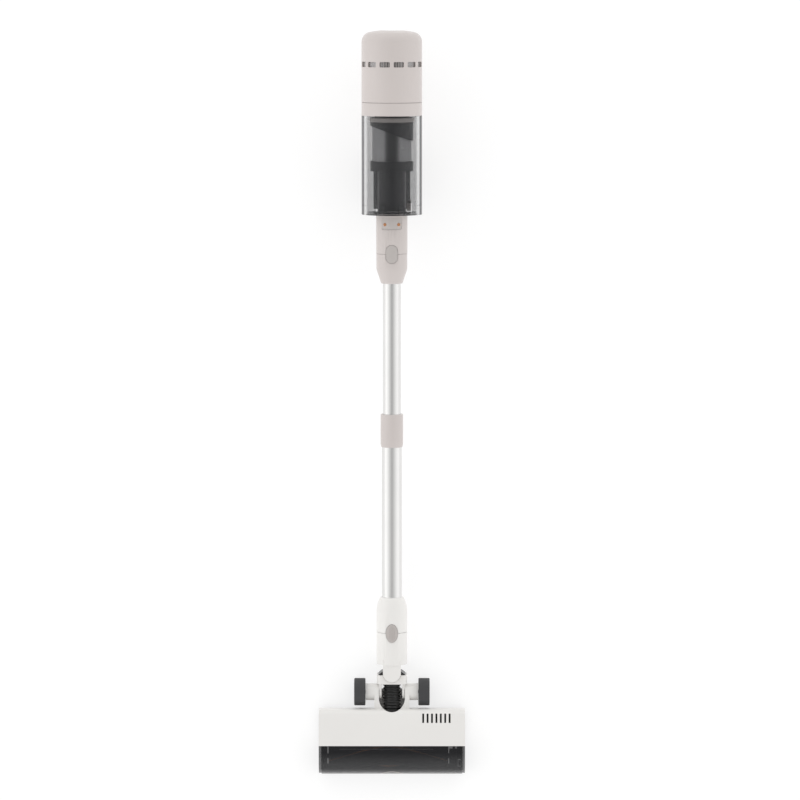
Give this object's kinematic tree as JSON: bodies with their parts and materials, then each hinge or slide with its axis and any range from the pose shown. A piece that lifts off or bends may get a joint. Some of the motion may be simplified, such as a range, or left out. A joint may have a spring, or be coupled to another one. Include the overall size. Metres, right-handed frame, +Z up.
{
  "type": "cordless stick vacuum",
  "caption": "Cordless stick vacuum with a motorised floor head, telescopic wand, clear cyclone cup, rear grip and slide-off battery, lying flat on the floor.",
  "frame": {"origin": "on the floor under the middle of the machine as it lies flat", "axes": "+Y runs from the floor head to the motor body, +Z up, +X to the right of a user who looks from the motor body to the head's back"},
  "size_m": [0.234, 1.188, 0.1742],
  "materials": {
    "warm_white": "satin",
    "greige": "satin",
    "key_greige": "satin",
    "graphite": "moulded",
    "soft_grey": "matt",
    "black_rubber": "matt",
    "tyre_grey": "matt",
    "smoke_clear": "smoked",
    "steel": "brushed",
    "silver_tube": "anodised",
    "copper": "polished",
    "orange_bristle": "nylon tufts",
    "mesh_grey": "etched mesh",
    "filter_cloth": "pleated",
    "cast_alloy": "cast",
    "board_green": "lacquered",
    "screen_black": "gloss",
    "cell_wrap": "sleeve"
  },
  "bodies": {
    "head": {"head_base": "graphite", "head_cover": "warm_white", "front_window": "smoke_clear", "front_bumper": "soft_grey", "brush_motor": "steel", "drive_belt": "black_rubber", "head_duct": "graphite", "axle_pins": "steel", "head_screws": "steel", "hose": "black_rubber"},
    "left_wheel": {"left_hub": "graphite", "left_tyre": "tyre_grey"},
    "right_wheel": {"right_hub": "graphite", "right_tyre": "tyre_grey"},
    "left_front_roller": {"left_roller": "graphite"},
    "right_front_roller": {"right_roller": "graphite"},
    "brush": {"brush_core": "graphite", "brush_bristles": "orange_bristle", "brush_blades": "black_rubber", "brush_pulley": "graphite"},
    "brush_motor_pulley": {"motor_pulley": "steel"},
    "swivel": {"yoke": "warm_white", "swivel_duct": "black_rubber"},
    "connector": {"connector_shell": "warm_white", "yaw_pins": "steel"},
    "lower_wand": {"wand_lower_socket": "warm_white", "lower_tube": "silver_tube", "telescope_collar": "greige"},
    "lower_button": {"lower_release_button": "key_greige"},
    "lock_button": {"collar_lock_button": "key_greige"},
    "upper_wand": {"upper_tube": "silver_tube", "wand_upper_socket": "greige"},
    "upper_button": {"upper_release_button": "key_greige"},
    "main_body": {"nose": "greige", "contact_panel": "greige", "charge_contacts": "copper", "main_frame": "greige", "motor_housing": "greige", "top_cap": "greige", "exhaust_filter": "mesh_grey", "suction_motor": "cast_alloy", "motor_mount": "black_rubber", "control_board": "board_green", "grip": "greige", "grip_pad": "soft_grey", "status_display": "screen_black", "body_screws": "steel"},
    "fan": {"impeller": "cast_alloy"},
    "power_key": {"power_button": "key_greige"},
    "battery": {"battery_case": "graphite", "battery_cells": "cell_wrap"},
    "battery_catch": {"battery_latch": "key_greige"},
    "cup": {"cup_wall": "smoke_clear", "cup_collar": "greige", "cyclone_head": "graphite", "cyclone_shroud": "mesh_grey", "inlet_duct": "graphite", "filter": "filter_cloth"},
    "door": {"cup_door": "smoke_clear"},
    "cup_latch": {"door_latch": "key_greige"}
  },
  "joints": [
    {"name": "left_wheel_spin", "type": "hinge", "parent": "head", "child": "left_wheel", "pos_m": [-0.0515, -0.46142, 0.022], "axis": [1, 0, 0], "continuous": true},
    {"name": "right_wheel_spin", "type": "hinge", "parent": "head", "child": "right_wheel", "pos_m": [0.0515, -0.46142, 0.022], "axis": [1, 0, 0], "continuous": true},
    {"name": "left_roller_spin", "type": "hinge", "parent": "head", "child": "left_front_roller", "pos_m": [-0.1098, -0.57742, 0.005], "axis": [1, 0, 0], "continuous": true},
    {"name": "right_roller_spin", "type": "hinge", "parent": "head", "child": "right_front_roller", "pos_m": [0.1098, -0.57742, 0.005], "axis": [1, 0, 0], "continuous": true},
    {"name": "brush_spin", "type": "hinge", "parent": "head", "child": "brush", "pos_m": [0, -0.56442, 0.0225], "axis": [1, 0, 0], "continuous": true},
    {"name": "motor_pulley_spin", "type": "hinge", "parent": "head", "child": "brush_motor_pulley", "pos_m": [0.099, -0.52741, 0.024], "axis": [1, 0, 0], "continuous": true},
    {"name": "wand_pitch", "type": "hinge", "parent": "head", "child": "swivel", "pos_m": [0, -0.46142, 0.022], "axis": [1, 0, 0], "range_deg": [0, 84], "deforming": ["hose"]},
    {"name": "swivel_yaw", "type": "hinge", "parent": "swivel", "child": "connector", "pos_m": [0, -0.42858, 0.02531], "axis": [0, -0.1003, 0.995], "range_deg": [-30, 30]},
    {"name": "wand_pull_off", "type": "slide", "parent": "connector", "child": "lower_wand", "axis": [0, 0.995, 0.1003], "range_m": [0, 0.06]},
    {"name": "lower_button_press", "type": "slide", "parent": "lower_wand", "child": "lower_button", "axis": [0, 0.1003, -0.995], "range_m": [0, 0.0016], "stiffness_N_per_m": 400},
    {"name": "telescope_slide", "type": "slide", "parent": "lower_wand", "child": "upper_wand", "axis": [0, 0.995, 0.1003], "range_m": [-0.19, 0]},
    {"name": "lock_button_press", "type": "slide", "parent": "lower_wand", "child": "lock_button", "axis": [0, -0.1003, 0.995], "range_m": [0, 0.0012], "stiffness_N_per_m": 400},
    {"name": "body_pull_off", "type": "slide", "parent": "upper_wand", "child": "main_body", "axis": [0, 0.995, 0.1003], "range_m": [0, 0.06]},
    {"name": "upper_button_press", "type": "slide", "parent": "upper_wand", "child": "upper_button", "axis": [0, 0.1003, -0.995], "range_m": [0, 0.0016], "stiffness_N_per_m": 400},
    {"name": "fan_spin", "type": "hinge", "parent": "main_body", "child": "fan", "pos_m": [0, 0.53871, 0.12285], "axis": [0, 0.995, 0.1003], "continuous": true},
    {"name": "power_press", "type": "slide", "parent": "main_body", "child": "power_key", "axis": [0, -0.995, -0.1003], "range_m": [0, 0.001], "stiffness_N_per_m": 300},
    {"name": "battery_slide", "type": "slide", "parent": "main_body", "child": "battery", "axis": [0, -0.995, -0.1003], "range_m": [0, 0.09]},
    {"name": "battery_latch_press", "type": "slide", "parent": "battery", "child": "battery_catch", "axis": [0, -0.1003, 0.995], "range_m": [0, 0.001], "stiffness_N_per_m": 300},
    {"name": "cup_lift_off", "type": "slide", "parent": "main_body", "child": "cup", "axis": [0, -0.1003, 0.995], "range_m": [0, 0.11]},
    {"name": "cup_door_hinge", "type": "hinge", "parent": "cup", "child": "door", "pos_m": [0, 0.30177, 0.1472], "axis": [-1, 0, 0], "range_deg": [0, 85]},
    {"name": "door_latch_slide", "type": "slide", "parent": "cup", "child": "cup_latch", "axis": [0, 0.995, 0.1003], "range_m": [0, 0.003], "stiffness_N_per_m": 300}
  ],
  "couplings": [
    {"joint": "motor_pulley_spin", "follows": "brush_spin", "ratio": 1.5714}
  ]
}
